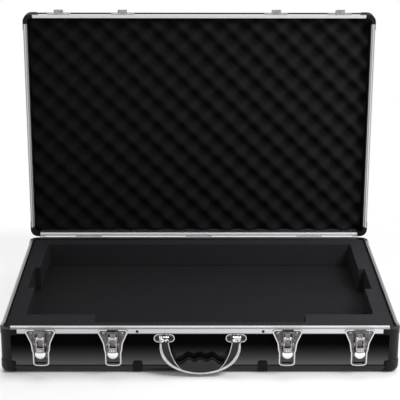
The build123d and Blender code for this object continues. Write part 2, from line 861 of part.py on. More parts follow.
def handle_pieces():
    """Chrome band with its two necks, the moulded grip inside it, and the trim down both sides."""
    reach = 2 * handle_grip_front
    full = handle_outline(handle_half, handle_shoulder, handle_bottom)
    inside = handle_outline(handle_half - band_side, band_inner_shoulder, handle_bottom - band_thick)
    strips = [between_arcs(opening_side(s, 0), opening_side(s, trim_thick)) for s in (-1, 1)]
    depth = handle_depth(handle_back, handle_leg_front, handle_grip_front)
    necks = [Pos(side * handle_pivot_x, 0, 0) * handle_neck() for side in (-1, 1)]
    band = (outward(full - inside, 0, reach) & depth) + necks[0] + necks[1]
    grip = outward(inside - handle_opening() - strips[0] - strips[1], 0, reach) & depth
    grip = grip - necks[0] - necks[1]
    trim = [outward(strip & inside, 0, reach) & depth for strip in strips]
    return [band], grip.solids(), trim


# Assembly

def build():
    """Every node by name, each a list of solids, in the open rest pose."""
    nodes = {}
    walls = wall_panels(base_height, sheet)
    nodes["base_bottom_panel"] = [flat_panel()]
    for side, wall in walls.items():
        nodes[f"base_{side}_panel"] = [wall]
    nodes["base_edge_rails"] = edge_rails()
    nodes["base_corner_posts"] = corner_posts(base_height)
    balls = ball_corners()
    nodes["base_ball_corners"] = balls
    rims = on_each_side(base_rim_section(), parting, rail_end)
    nodes["base_rim_front_rail"] = [rims["front"]]
    nodes["base_rim_rear_rail"] = [rims["rear"]]
    nodes["base_rim_side_rails"] = [rims["left"], rims["right"]]
    caps = rim_corner_caps()
    nodes["base_rim_corner_caps"] = caps
    layer, pad = base_foam()
    nodes["base_foam_cut_layer"] = [layer]
    nodes["base_foam_floor"] = [pad]
    nodes["feet"] = feet()

    base_leaf, lid_leaf = hinge_leaves()
    nodes["base_hinge_leaves"] = place_hinges(base_leaf)
    pin = Rot(0, 90, 0) * Cylinder(hinge_pin_radius, hinge_width)
    nodes["hinge_pins"] = place_hinges(pin)

    latch = {
        "latch_plate": [latch_plate()],
        "latch_lever": [latch_lever()],
        "latch_hook": [latch_hook()],
        "latch_hook_pin": hook_pins(),
        "lock_barrel": [lock_barrel()],
    }
    for number, x in enumerate(latch_places, start=1):
        for name, pieces in latch.items():
            nodes[f"{name}_{number}"] = [Pos(x, 0, 0) * piece for piece in pieces]
    lever_pin = cross_pin(lever_pivot_out, -lever_pivot_down, lever_pin_radius, cheek_outer + hook_gap / 2)
    nodes["latch_lever_pins"] = [Pos(x, 0, 0) * lever_pin for x in latch_places]

    nodes["handle_brackets"] = handle_brackets()
    band, grip, trim = handle_pieces()
    nodes["handle_band"] = band
    nodes["handle_grip"] = grip
    nodes["handle_trim"] = trim
    nodes["base_rivets"] = front_rivets()

    lid_walls = wall_panels(lid_height, tongue_height + rebate_clear + sheet)
    nodes["lid_top_panel"] = [opened(to_lid(flat_panel()))]
    for side, wall in lid_walls.items():
        nodes[f"lid_{side}_panel"] = [opened(to_lid(wall))]
    nodes["lid_edge_rails"] = [opened(to_lid(rail)) for rail in edge_rails()]
    nodes["lid_corner_posts"] = [opened(to_lid(post)) for post in corner_posts(lid_height)]
    nodes["lid_ball_corners"] = [opened(to_lid(ball)) for ball in balls]
    rims = on_each_side(lid_rim_section(), lid_rim, rail_end)
    nodes["lid_rim_front_rail"] = [opened(rims["front"])]
    nodes["lid_rim_rear_rail"] = [opened(rims["rear"])]
    nodes["lid_rim_side_rails"] = [opened(rims["left"]), opened(rims["right"])]
    turned = [Pos(0, 0, lid_rim + parting) * mirror(cap, about=Plane.XY) for cap in caps]
    nodes["lid_rim_corner_caps"] = [opened(cap) for cap in turned]
    nodes["lid_foam"] = [opened(lid_foam())]
    nodes["lid_lining"] = [opened(strip) for strip in lid_lining()]
    nodes["lid_strikes"] = [opened(Pos(x, 0, 0) * strike()) for x in latch_places]
    strike_heads = rivet_pairs(latch_places, strike_rivet_x, sheet, strike_rivet_up)
    nodes["lid_rivets"] = [opened(head) for head in strike_heads]
    nodes["lid_hinge_leaves"] = [opened(leaf) for leaf in place_hinges(lid_leaf)]
    return nodes


if __name__ == "__main__":
    for name, solids in build().items():
        export_step(Compound(children=solids), f"parts/{name}.step")
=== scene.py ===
import json
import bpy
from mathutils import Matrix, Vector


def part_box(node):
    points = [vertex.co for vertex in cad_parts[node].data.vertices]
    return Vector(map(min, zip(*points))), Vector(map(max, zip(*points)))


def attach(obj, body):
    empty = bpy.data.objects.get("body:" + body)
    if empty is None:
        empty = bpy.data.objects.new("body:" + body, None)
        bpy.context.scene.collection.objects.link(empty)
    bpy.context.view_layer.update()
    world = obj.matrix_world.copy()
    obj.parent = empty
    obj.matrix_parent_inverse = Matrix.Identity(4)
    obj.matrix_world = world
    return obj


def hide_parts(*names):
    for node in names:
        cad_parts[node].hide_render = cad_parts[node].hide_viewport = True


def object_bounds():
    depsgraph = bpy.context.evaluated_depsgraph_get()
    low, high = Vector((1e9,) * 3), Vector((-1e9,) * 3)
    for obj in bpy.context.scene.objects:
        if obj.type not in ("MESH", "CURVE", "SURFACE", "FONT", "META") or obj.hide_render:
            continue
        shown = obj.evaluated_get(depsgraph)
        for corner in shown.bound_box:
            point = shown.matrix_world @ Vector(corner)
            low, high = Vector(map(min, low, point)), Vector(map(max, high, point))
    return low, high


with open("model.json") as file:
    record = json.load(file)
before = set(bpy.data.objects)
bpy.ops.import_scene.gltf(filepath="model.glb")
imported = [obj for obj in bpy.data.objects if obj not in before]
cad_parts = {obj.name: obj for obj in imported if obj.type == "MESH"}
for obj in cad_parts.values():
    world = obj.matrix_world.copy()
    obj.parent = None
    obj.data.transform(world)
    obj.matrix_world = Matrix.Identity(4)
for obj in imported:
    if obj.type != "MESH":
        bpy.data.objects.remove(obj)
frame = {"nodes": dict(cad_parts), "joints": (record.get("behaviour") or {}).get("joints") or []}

from fnmatch import fnmatchcase
from math import cos, pi, radians, sin

import bmesh
import bpy
from mathutils import Matrix, Vector

# A hard case for a music controller, lid open, in metres: front towards -Y, up +Z.

cad_low, cad_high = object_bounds()
MM = 0.001
nodes = frame["nodes"]
scene = bpy.context.scene

# The lid's hinge
lid_joint = {joint["name"]: joint for joint in frame["joints"]}["lid_hinge"]
hinge_point = Vector(lid_joint["pos_m"])
open_angle = radians(lid_joint["range_deg"][1])

# Sizes of the case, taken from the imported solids
panel_inset = 1.5 * MM  # the front panel lies behind the case's face and under the rim by this
edge_leg = 12.5 * MM  # the edge rails reach this far up the walls
panel_low, panel_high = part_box("base_front_panel")
rail_low, rail_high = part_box("base_rim_front_rail")
half_depth = panel_inset - panel_low.y
half_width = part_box("base_rim_side_rails")[1].x
parting_z = panel_high.z + panel_inset
leg_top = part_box("base_edge_rails")[0].z + edge_leg
rim_rise = rail_high.z - parting_z
rim_width = rail_high.y - rail_low.y

# Places on the latches and the handle where one brightness meets another: edges of painted
# highlight, reflection and shade
thumb_length = 12.0 * MM
fold_rise = 1.5 * MM
thumb_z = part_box("latch_lever_1")[0].z + thumb_length
fold_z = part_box("handle_brackets")[0].z + fold_rise
key_face = -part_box("lock_barrel_1")[0].y


def middle_x(name):
    low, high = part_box(name)
    return abs((low.x + high.x) / 2)


latch_places = [middle_x(name) for name in ("latch_plate_1", "latch_plate_2")]


def in_lid(y, z):
    """Along the lid's depth and out of its open side, for a place in the open lid."""
    return y * cos(open_angle) - z * sin(open_angle), y * sin(open_angle) + z * cos(open_angle)


def closed_box(name):
    """Corners of a lid node in the closed lid's frame."""
    back = Matrix.Rotation(open_angle, 4, "X")
    points = [back @ (v.co - hinge_point) + hinge_point for v in nodes[name].data.vertices]
    low = Vector([min(point[i] for point in points) for i in range(3)])
    high = Vector([max(point[i] for point in points) for i in range(3)])
    return low, high


foam_low, foam_high = closed_box("lid_foam")
foam_middle_y = (foam_low.y + foam_high.y) / 2
hinge_along, hinge_out = in_lid(hinge_point.y, hinge_point.z)
crest_out = foam_low.z - hinge_point.z + hinge_out

# The lid's foam: its waves, and how the sheet was cut a little askew
peak_pitch = 25.0 * MM
peak_relief = 14.0 * MM
peak_roundness = 0.75
crate_columns, crate_rows = 226, 148
stretch_along, stretch_across = 1.010, 1.062
skew_along, skew_across = 0.019, -0.0205
shift_along, shift_across = 26.9 * MM, 5.0 * MM


def askew(x, y):
    """Places on the lid's foam along its rows and across them."""
    along = x * stretch_along + y * skew_along + shift_along
    across = y * stretch_across + x * skew_across + shift_across
    return along, across


# Shader wiring

colour_inputs, colour_output = (6, 7), 2  # of a Mix node that is set to colours


class Wire:
    """A node socket that adds, scales and compares as a number would."""

    def __init__(self, shading, socket):
        self.shading = shading
        self.socket = socket

    def math(self, operation, *others):
        values = dict(enumerate((self, *others)))
        return self.shading.node("ShaderNodeMath", {"operation": operation}, values)

    def __add__(self, other):
        return self.math("ADD", other)

    def __mul__(self, other):
        return self.math("MULTIPLY", other)

    def __sub__(self, other):
        return self.math("SUBTRACT", other)

    def __rsub__(self, other):
        return self * -1 + other

    __radd__ = __add__
    __rmul__ = __mul__

    def unsigned(self):
        return self.math("ABSOLUTE")

    def above(self, low, high):
        """0 under low and 1 over high, with a straight run between."""
        values = {"Value": self, "From Min": low, "From Max": high, "To Min": 0.0, "To Max": 1.0}
        return self.shading.node("ShaderNodeMapRange", {"clamp": True}, values)

    def below(self, low, high):
        return 1 - self.above(low, high)


class Shading:
    """The nodes of a material or of the world, and the output that they end in."""

    def __init__(self, owner, output):
        owner.use_nodes = True
        self.tree = owner.node_tree
        self.tree.nodes.clear()
        self.output = self.tree.nodes.new(output)

    def node(self, kind, settings=None, values=None, output=0):
        """Adds a node: its settings first, then a number, a colour or a wire for each socket."""
        made = self.tree.nodes.new(kind)
        for name, value in (settings or {}).items():
            setattr(made, name, value)
        for socket, value in (values or {}).items():
            if isinstance(value, Wire):
                self.tree.links.new(value.socket, made.inputs[socket])
            else:
                made.inputs[socket].default_value = value
        return Wire(self, made.outputs[output])

    def ray(self, kind):
        """1 for rays of that kind and 0 for the others."""
        return self.node("ShaderNodeLightPath", output=f"Is {kind} Ray")

    def mix_shaders(self, mask, first, second):
        """The first shader where mask is 0 and the second where it is 1."""
        return self.node("ShaderNodeMixShader", None, {"Fac": mask, 1: first, 2: second})

    def end_in(self, shader):
        self.tree.links.new(shader.socket, self.output.inputs["Surface"])


class Finish(Shading):
    """One material: its principled shader, and the object's own coordinates in metres."""

    def __init__(self, name, **fixed):
        self.material = bpy.data.materials.new(name)
        super().__init__(self.material, "ShaderNodeOutputMaterial")
        self.shader = self.tree.nodes.new("ShaderNodeBsdfPrincipled")
        self.surface = Wire(self, self.shader.outputs[0])
        self.end_in(self.surface)
        for socket, value in fixed.items():
            self.shader.inputs[socket.replace("_", " ")].default_value = value
        self.place = self.node("ShaderNodeTexCoord", output="Object")

    def axis(self, letter):
        return self.node("ShaderNodeSeparateXYZ", None, {0: self.place}, letter)

    def stretched(self, scale):
        values = {"Vector": self.place, "Scale": scale}
        return self.node("ShaderNodeMapping", None, values)

    def noise(self, scale, detail=3.0, roughness=0.55, vector=None):
        values = {"Vector": vector or self.place}
        values.update({"Scale": scale, "Detail": detail, "Roughness": roughness})
        return self.node("ShaderNodeTexNoise", None, values)

    def cells(self, scale):
        values = {"Vector": self.place, "Scale": scale}
        return self.node("ShaderNodeTexVoronoi", None, values, "Distance")

    def blend(self, mask, first, second):
        """The first colour where mask is 0 and the second where it is 1."""
        made = self.tree.nodes.new("ShaderNodeMix")
        made.data_type = "RGBA"
        self.tree.links.new(mask.socket, made.inputs["Factor"])
        for socket, value in zip(colour_inputs, (first, second)):
            if isinstance(value, Wire):
                self.tree.links.new(value.socket, made.inputs[socket])
            else:
                made.inputs[socket].default_value = (*value, 1.0)
        return Wire(self, made.outputs[colour_output])

    def set(self, **wires):
        for socket, wire in wires.items():
            self.tree.links.new(wire.socket, self.shader.inputs[socket.replace("_", " ")])
        return self

    def bump(self, height, depth, strength=1.0):
        values = {"Height": height, "Distance": depth, "Strength": strength}
        return self.set(Normal=self.node("ShaderNodeBump", None, values))


def grey(level, blue=1.02):
    return (level, level, level * blue)


# Finishes. Scales are cells per metre; bump depths are in metres.

cloud_edges = (0.3, 0.7)  # noise values between which plating turns from dull to bright
laminate_blue, moulding_blue, foam_blue = 1.2, 1.1, 1.12
painted_glare_share = {"X": 0.22, "Z": 0.08}  # painted highlight: rails painted paler towards their right end, where the key light falls
side_band = 24 * MM  # moulded pieces are glossier this close to the case's sides
lever_half_width = 4.3 * MM
# heights of the patch behind the levers that is painted lighter: painted light in their shade
behind_lever_low, behind_lever_high = -33 * MM, -8 * MM
dark_rivets_within = 119 * MM


def laminate(name):
    """Smooth black laminate on board, as on the lid and the underside."""
    finish = Finish(name, Coat_IOR=1.6, Coat_Roughness=0.09, Specular_IOR_Level=0.08)
    smear = coloured_laminate(finish)
    finish.set(Coat_Weight=smear * 0.3 + 0.35)
    return finish.material


def wall_laminate(name, glossy_z, dull_z):
    """The same laminate on the base's walls, where the gloss grows towards their foot: a painted
    reflection, with painted shade just over the edge rail.
    """
    finish = Finish(name, Coat_IOR=1.8, Coat_Roughness=0.09, Specular_IOR_Level=0.0)
    coloured_laminate(finish)
    height = finish.axis("Z")
    # painted reflection: the coat grows towards the walls' foot; just over the edge rail it is
    # cut to 0.3, painted shade of the groove there
    gloss = height.below(glossy_z, dull_z).math("POWER", 2.1)
    clear_of_groove_shade = height.above(leg_top + 1.2 * MM, leg_top + 2.2 * MM)
    finish.set(Coat_Weight=gloss * (clear_of_groove_shade * 0.7 + 0.3))
    return finish.material


def coloured_laminate(finish):
    """Colour, roughness and bump of the laminate; returns the smears that it has."""
    speck = finish.noise(scale=900.0, detail=2.0).above(0.35, 0.75)
    smear = finish.noise(scale=9.0)
    dark, pale = grey(0.0016, laminate_blue), grey(0.0036, laminate_blue)
    finish.set(Base_Color=finish.blend(speck, dark, pale))
    finish.set(Roughness=smear * 0.25 + 0.22)
    finish.bump(finish.noise(scale=160.0, detail=1.0), depth=0.00004)
    return smear


def coated_rail(name):
    """Satin black coating on the edge extrusions, a little paler where it rubs."""
    finish = Finish(name, Specular_IOR_Level=0.38)
    grain = finish.noise(scale=1400.0)
    rub = finish.noise(scale=14.0, detail=4.0, roughness=0.65).above(0.52, 0.75)
    finish.set(Base_Color=finish.blend(rub, grey(0.010), grey(0.019)))
    finish.set(Roughness=grain * 0.18 + rub * 0.08 + 0.26)
    return finish.bump(grain, depth=0.00005).material


def silver_rail(name, along, painted_bands, across=None, painted_highlight_edge=None):
    """Satin aluminium drawn along the rail.

    Each band pairs a distance across the rail with the brightness from there on: painted light
    and shade of its faces.
    Up to the given highlight edge the metal is a flat, nearly unmetallic white: a painted
    highlight.
    """
    finish = Finish(name, Metallic=1.0)
    coarse, fine = 3.0, 900.0
    scale = [coarse if letter == along else fine for letter in "XYZ"]
    lines = finish.noise(scale=1.0, roughness=0.6, vector=finish.stretched(scale))
    cloud = finish.noise(scale=12.0, detail=2.0)
    tone = grey(painted_bands[0][1])
    distance = across(finish) if across else None
    for start, level in painted_bands[1:]:
        step = distance.above(start - 0.25 * MM, start + 0.25 * MM)
        tone = finish.blend(step, tone, grey(level))
    drawn = finish.blend(lines * 0.16 + cloud * 0.06, tone, grey(0.30))
    # painted highlight of the key light: the rail's colour pales towards its right end
    if along in painted_glare_share:
        painted_glare = finish.axis("X").above(-100 * MM, 300 * MM) * painted_glare_share[along]
        drawn = finish.blend(painted_glare, drawn, grey(0.95))
    finish.set(Base_Color=drawn)
    # painted highlight: near the edge the metal turns a flat, nearly unmetallic white
    if painted_highlight_edge:
        finish.set(Metallic=distance.above(painted_highlight_edge, painted_highlight_edge + 0.4 * MM) * 0.85 + 0.15)
    finish.set(Roughness=lines * 0.16 + 0.24)
    return finish.bump(lines, depth=0.00003).material


def from_side(finish):
    """How far in from the case's left or right face."""
    return half_width - finish.axis("X").unsigned()


def from_inside(finish):
    """How far out over the base's rear rail from its inner side, the top edge left out."""
    top = parting_z + rim_rise
    brow = finish.axis("Z").above(top - 2.6 * MM, top - 2.2 * MM)
    return rim_width - half_depth + finish.axis("Y").unsigned() + brow * MM


def under_rim(finish):
    """How far in and down over the base's front rail, from the tongue's inner edge."""
    inward = half_depth - finish.axis("Y").unsigned()
    return parting_z + rim_rise - finish.axis("Z") + (rim_width - inward)


def moulding(name, gloss):
    """Black moulded corner pieces and feet, fine grained, glossier at the case's two sides."""
    finish = Finish(name, Specular_IOR_Level=0.05, Coat_Roughness=0.32, Coat_IOR=1.5)
    grain = finish.cells(scale=1100.0)
    cloud = finish.noise(scale=20.0)
    outer = finish.axis("X").unsigned().above(half_width - side_band, half_width)
    dark, pale = grey(0.004, moulding_blue), grey(0.010, moulding_blue)
    finish.set(Base_Color=finish.blend(cloud, dark, pale))
    finish.set(Roughness=grain * 0.2 + cloud * 0.12 + 0.40)
    finish.set(Coat_Weight=outer * gloss + 0.10)
    return finish.bump(grain, depth=0.00006).material


def foam(name, dark, pale, pores, depth, left=0.5, painted_shade=None):
    """Open-pored foam: no shine, small cells and a faint cloudiness.

    Painted shade: it darkens towards the case's left end, to the share left, and to near black
    where a given shade mask says.
    """
    finish = Finish(name, Specular_IOR_Level=0.10)
    cell = finish.cells(scale=pores)
    fine = finish.noise(scale=pores * 1.7, detail=4.0, roughness=0.7)
    cloud = finish.noise(scale=16.0)
    grain = finish.noise(scale=240.0, roughness=0.7).above(0.25, 0.75)
    tone = fine * 0.4 + cell * 0.2 + cloud * 0.2 + grain * 0.55
    tone = tone.above(0.3, 1.0)
    shade = finish.blend(tone, grey(dark, foam_blue), grey(pale, foam_blue))
    # painted shade: darker towards the case's left end, away from the key light
    painted_light_from_right = finish.axis("X").above(-half_width, half_width) * (1 - left) + left
    shade = finish.blend(painted_light_from_right, grey(0.0), shade)
    # painted shade in the lid foam's pits and on its slopes that face away from the light
    if painted_shade:
        shade = finish.blend(painted_shade(finish), shade, grey(0.0010, foam_blue))
    finish.set(Base_Color=shade)
    finish.set(Roughness=fine * 0.1 + 0.88)
    return finish.bump(cell * 0.6 + fine, depth, strength=0.8).material


def painted_crate_shade(finish):
    """Painted shade on the lid's foam: 0 at its crests, up to 0.95 in its hollows and on the
    slopes that face away from the light, left and below.
    """
    x, y, z = (finish.axis(letter) for letter in "XYZ")
    deep, out = in_lid(y, z)
    pits = out.above(crest_out + 1.0 * MM, crest_out + 10.5 * MM)
    along, across = askew(x, deep + (hinge_point.y - foam_middle_y - hinge_along))
    slopes = ((across - along) * (pi / peak_pitch)).math("SINE").above(0.0, 1.0)
    return (pits * 0.75 + slopes * 0.42).math("MINIMUM", 0.95)


def forwards(finish):
    """How far in front of the case's middle."""
    return finish.axis("Y") * -1


def chrome(name, dull, bright, rough=0.05, clouds=110.0):
    """Chromed pressed steel, cloudy where the plating lies flat."""
    finish = Finish(name, Metallic=1.0)
    cloud = finish.noise(scale=clouds, detail=4.0, roughness=0.65)
    fine = finish.noise(scale=1500.0)
    finish.set(Base_Color=finish.blend(cloud.above(*cloud_edges), grey(dull), grey(bright)))
    finish.set(Roughness=cloud * 0.12 + fine * 0.06 + rough)
    return finish.bump(cloud, depth=0.00010, strength=0.6).material


def plate_chrome(name, face, edge):
    """Pressed latch plate: a dark cloudy face, paler and less metallic behind the lever as
    painted light in its shade, and a painted highlight on the rim.

    face and edge are how far the flat face and the rim's edge lie in front of the case.
    """
    finish = Finish(name, Metallic=1.0)
    painted_rim_highlight = forwards(finish).above(half_depth + face, half_depth + edge)
    cloud = finish.noise(scale=190.0, detail=4.0, roughness=0.7)
    flat = finish.blend(cloud.above(0.32, 0.7), (0.035, 0.032, 0.032), (0.20, 0.185, 0.185))
    side = finish.axis("X").unsigned()
    inner, outer = (
        (side - place).unsigned().below(lever_half_width, lever_half_width + 0.3 * MM)
        for place in latch_places
    )
    height = finish.axis("Z") - parting_z
    over_foot = height.above(behind_lever_low, behind_lever_low + 1 * MM)
    under_top = height.below(behind_lever_high - 1 * MM, behind_lever_high)
    painted_light_behind_lever = (inner + outer) * (over_foot * under_top)
    # painted light: a paler, nearly unmetallic patch behind the lever, where its shade falls
    flat = finish.blend(painted_light_behind_lever, flat, (0.36, 0.31, 0.30))
    # painted highlight on the rim
    finish.set(Base_Color=finish.blend(painted_rim_highlight, flat, grey(0.68)))
    finish.set(Metallic=1 - painted_light_behind_lever * 0.9)
    finish.set(Roughness=0.20 - painted_rim_highlight * 0.12 + cloud * 0.10)
    return finish.bump(cloud, depth=0.00012, strength=0.7).material


def bracket_chrome(name, face, edge):
    """The handle's bracket: dark glossy ends with painted highlights on their rims, and a middle
    of black and white spots, painted reflections.
    """
    finish = Finish(name, Metallic=1.0)
    out = forwards(finish)
    painted_rim_highlight = out.above(half_depth + face, half_depth + edge)
    ears = out.above(half_depth + edge + 1.5 * MM, half_depth + edge + 2.0 * MM)
    spots = finish.noise(scale=260.0, detail=2.0, roughness=0.5)
    # painted reflections: black and white spots on the parts standing furthest out
    painted_spot_reflections = finish.blend(spots.above(0.44, 0.56), grey(0.05), grey(0.95))
    cloud = finish.noise(scale=190.0, detail=4.0, roughness=0.7)
    flat = finish.blend(cloud.above(0.32, 0.7), (0.030, 0.028, 0.029), (0.10, 0.095, 0.095))
    # painted highlight on the rims
    rimmed = finish.blend(painted_rim_highlight, flat, grey(0.70))
    finish.set(Base_Color=finish.blend(ears, rimmed, painted_spot_reflections))
    finish.set(Roughness=cloud * 0.12 + 0.08)
    return finish.bump(spots, depth=0.00030, strength=0.8).material


def band_chrome(name):
    """The handle's bright band, with painted reflections, black and white spots, where it folds
    round its pins.
    """
    finish = Finish(name, Metallic=1.0)
    fold = finish.axis("Z").above(fold_z - 0.5 * MM, fold_z + 0.5 * MM)
    cloud = finish.noise(scale=110.0, detail=4.0, roughness=0.65)
    spots = finish.noise(scale=330.0, detail=1.0, roughness=0.5)
    # painted reflections: black and white spots at the fold
    painted_spot_reflections = finish.blend(spots.above(0.44, 0.54), grey(0.05), grey(0.97))
    plain = finish.blend(cloud.above(*cloud_edges), grey(0.44), grey(0.70))
    finish.set(Base_Color=finish.blend(fold, plain, painted_spot_reflections))
    finish.set(Roughness=cloud * 0.12 + 0.06)
    return finish.bump(cloud, depth=0.00010, strength=0.6).material


def key_plug(name):
    """The key plug: bright face, with painted shade in the slot cut into it."""
    finish = Finish(name, Metallic=1.0)
    # painted shade in the key slot
    painted_shade = forwards(finish).below(key_face - 0.35 * MM, key_face - 0.25 * MM)
    cloud = finish.noise(scale=400.0)
    bright = finish.blend(cloud, grey(0.45), grey(0.75))
    finish.set(Base_Color=finish.blend(painted_shade, bright, grey(0.02)))
    finish.set(Roughness=cloud * 0.15 + 0.10)
    return finish.bump(cloud, depth=0.00004).material


def lever_chrome(name):
    """The lever: thumb end painted near white, a painted highlight, and duller web and cheeks
    above it.
    """
    finish = Finish(name, Metallic=1.0)
    # painted highlight: the thumb end is near white
    low = finish.axis("Z").below(thumb_z - 0.4 * MM, thumb_z + 0.4 * MM)
    cloud = finish.noise(scale=150.0, roughness=0.6)
    web = finish.blend(cloud.above(*cloud_edges), grey(0.22), grey(0.50))
    finish.set(Base_Color=finish.blend(low, web, grey(0.96)))
    finish.set(Roughness=cloud * 0.12 - low * 0.05 + 0.12)
    return finish.bump(cloud, depth=0.00008, strength=0.5).material


def rivet_steel(name):
    """Rivet heads: bright, but for the dark pair in the front rail, nearest to the middle."""
    finish = Finish(name, Metallic=1.0)
    dark = finish.axis("X").unsigned().below(dark_rivets_within, dark_rivets_within + 1 * MM)
    cloud = finish.noise(scale=500.0, detail=2.0)
    bright = finish.blend(cloud, grey(0.15), grey(0.40))
    finish.set(Base_Color=finish.blend(dark, bright, grey(0.03)))
    finish.set(Roughness=cloud * 0.2 + 0.12)
    return finish.bump(cloud, depth=0.00003).material


def plated_steel(name):
    """Zinc plated steel of the hinges and pins."""
    finish = Finish(name, Metallic=1.0)
    cloud = finish.noise(scale=60.0, detail=4.0)
    drawn = finish.stretched((40.0, 900.0, 900.0))
    lines = finish.noise(scale=1.0, detail=2.0, roughness=0.5, vector=drawn)
    finish.set(Base_Color=finish.blend(cloud, grey(0.42), grey(0.66)))
    finish.set(Roughness=lines * 0.15 + cloud * 0.12 + 0.22)
    return finish.bump(lines, depth=0.00003).material


def grip_moulding(name):
    """Dark moulded grip with a fine leather-like grain."""
    finish = Finish(name, Specular_IOR_Level=0.35)
    grain = finish.cells(scale=700.0)
    cloud = finish.noise(scale=150.0).above(*cloud_edges)
    dark, pale = grey(0.003, moulding_blue), grey(0.014, moulding_blue)
    finish.set(Base_Color=finish.blend(cloud, dark, pale))
    finish.set(Roughness=grain * 0.25 + 0.30)
    return finish.bump(grain, depth=0.00010).material


# Painted light and shade across the rails: (distance, level) pairs, in from the outer face or the
# top edge
even_band = ((0.0, 0.80),)
base_side_painted_bands = ((0.0, 0.50), (1.6 * MM, 0.26), (3.2 * MM, 0.22))
lid_side_painted_bands = ((0.0, 0.36), (1.9 * MM, 0.68), (4.2 * MM, 0.40))
rear_painted_bands = ((0.0, 0.05), (0.5 * MM, 0.85))
# the tongue's top is painted flat white this far in: a painted highlight
tongue_edge = 5.0 * MM
flange_foot = rim_rise + rim_width + 9.0 * MM
# front rail: painted highlight on the tongue's top, a painted shadow line at 6.4 mm, and a
# painted shadow line at the flange's foot
front_painted_bands = (
    (0.0, 1.0), (5.2 * MM, 0.52), (6.4 * MM, 0.24), (7.6 * MM, 0.32), (9.5 * MM, 0.60),
    (flange_foot - 1.2 * MM, 0.10),
)

# Heights between which the walls' gloss, a painted reflection, fades, and how far the pressings
# stand out in front
full_gloss_z = 17.0 * MM
no_gloss_z = parting_z - 25.5 * MM
plate_face, plate_edge = 2.1 * MM, 2.6 * MM
bracket_face, bracket_edge = 0.75 * MM, 1.1 * MM

finishes = {
    "wall": wall_laminate("black laminate of the base", full_gloss_z, no_gloss_z),
    "lid_wall": laminate("black laminate of the lid"),
    "coated": coated_rail("black coated edge rail"),
    "silver_front": silver_rail(
        "satin aluminium rail of the base", "X", front_painted_bands, under_rim, tongue_edge
    ),
    "silver_rear": silver_rail(
        "satin aluminium rail at the rear", "X", rear_painted_bands, from_inside
    ),
    "silver_x": silver_rail("satin aluminium rail, side to side", "X", even_band),
    "silver_y": silver_rail(
        "satin aluminium rail, front to rear", "Y", base_side_painted_bands, from_side
    ),
    "silver_z": silver_rail("satin aluminium rail, upright", "Z", lid_side_painted_bands, from_side),
    "moulding": moulding("black moulded corner", gloss=0.48),
    "lid_moulding": moulding("black moulded corner of the lid", gloss=0.12),
    "cut_foam": foam("cut black foam", dark=0.021, pale=0.041, pores=850.0, depth=0.00028),
    "floor_foam": foam(
        "black foam of the recess floor", dark=0.012, pale=0.024, pores=850.0, depth=0.00028
    ),
    "crate_foam": foam(
        "soft black egg-crate foam", dark=0.0085, pale=0.0215, pores=900.0, depth=0.00030,
        left=0.36, painted_shade=painted_crate_shade,
    ),
    "lining": foam("grey-black lining", dark=0.030, pale=0.055, pores=1200.0, depth=0.00015),
    "chrome": chrome("bright chrome", dull=0.42, bright=0.72),
    "hook": chrome("chromed hook", dull=0.06, bright=0.22, rough=0.12),
    "strike": chrome("chromed strike", dull=0.03, bright=0.80, rough=0.10, clouds=420.0),
    "lever": lever_chrome("chromed lever"),
    "lock": key_plug("chromed key plug"),
    "band": band_chrome("bright handle band"),
    "rivets": rivet_steel("rivet heads"),
    "plate": plate_chrome("chromed latch plate", plate_face, plate_edge),
    "bracket": bracket_chrome("chromed handle bracket", bracket_face, bracket_edge),
    "plated": plated_steel("zinc plated steel"),
    "grip": grip_moulding("moulded grip"),
}

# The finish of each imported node; the first pattern that fits its name counts
coats = (
    ("base_bottom_panel", "lid_wall"),
    ("base_*_panel", "wall"),
    ("lid_*_panel", "lid_wall"),
    ("*_edge_rails", "coated"),
    ("base_rim_front_rail", "silver_front"),
    ("base_rim_rear_rail", "silver_rear"),
    ("base_rim_side_rails", "silver_y"),
    ("lid_rim_side_rails", "silver_z"),
    ("lid_rim_*_rail", "silver_x"),
    ("base_*corner*", "moulding"),
    ("feet", "moulding"),
    ("lid_*corner*", "lid_moulding"),
    ("base_foam_*", "cut_foam"),
    ("lid_foam", "crate_foam"),
    ("lid_lining", "lining"),
    ("lid_strikes", "strike"),
    ("latch_plate_?", "plate"),
    ("latch_lever_?", "lever"),
    ("latch_hook_?", "hook"),
    ("lock_barrel_?", "lock"),
    ("handle_brackets", "bracket"),
    ("handle_band", "band"),
    ("handle_grip", "grip"),
    ("*_rivets", "rivets"),
    ("*hinge*", "plated"),
    ("latch_lever_pins", "plated"),
    ("*", "chrome"),
)


def coat_everything():
    for name, piece in nodes.items():
        finish = next(finish for pattern, finish in coats if fnmatchcase(name, pattern))
        piece.data.materials.clear()
        piece.data.materials.append(finishes[finish])


# Building new pieces

flat_angle = radians(0.5)  # faces that meet at less than this become one
round_angle = radians(35.0)  # faces that meet at less than this are shaded as one curve
same_place = 0.001 * MM


def in_scene(name, data):
    """A new object at the origin, made of a mesh, a lamp or a lens."""
    made = bpy.data.objects.new(name, data)
    scene.collection.objects.link(made)
    return made


def meshed(name, mesh, material):
    """A bmesh as an object of one material."""
    data = bpy.data.meshes.new(name)
    mesh.to_mesh(data)
    mesh.free()
    data.materials.append(material)
    return in_scene(name, data)


def finished_piece(name, mesh, finish, body, node):
    """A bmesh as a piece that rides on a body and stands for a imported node."""
    bmesh.ops.recalc_face_normals(mesh, faces=mesh.faces)
    piece = meshed(name, mesh, finishes[finish])
    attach(piece, body)
    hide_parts(node)
    return piece


